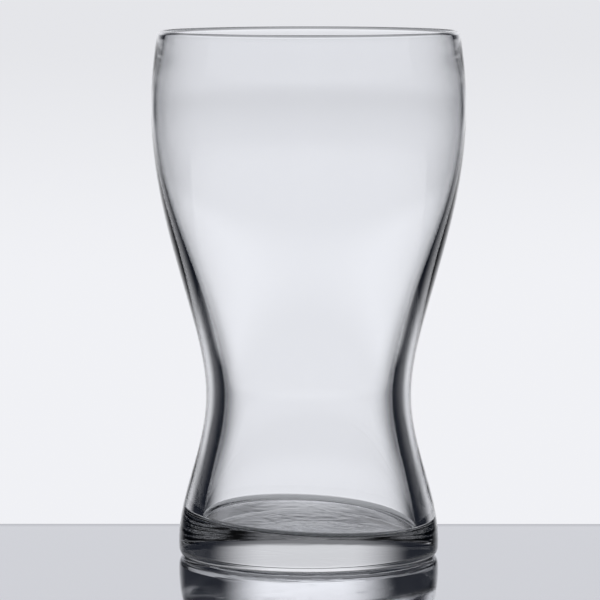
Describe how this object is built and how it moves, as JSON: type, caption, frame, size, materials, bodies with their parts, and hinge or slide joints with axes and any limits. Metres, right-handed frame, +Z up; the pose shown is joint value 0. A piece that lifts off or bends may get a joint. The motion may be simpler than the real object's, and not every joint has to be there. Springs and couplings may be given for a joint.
{
  "type": "pint glass",
  "caption": "Clear drinking glass with a wide mouth, swelling bowl, pinched waist and thick heavy foot.",
  "frame": {"origin": "centre of the foot's underside, on the plane the glass stands on", "axes": "+Z up the glass's axis from foot to mouth; the cavity's floor falls slightly towards +X"},
  "size_m": [0.0872, 0.0872, 0.146],
  "materials": {
    "clear_glass": "clear soda-lime glass, fire-polished all over, faint cool grey tint in the thick foot"
  },
  "bodies": {
    "root": {"glass_body": "clear_glass"}
  },
  "joints": []
}
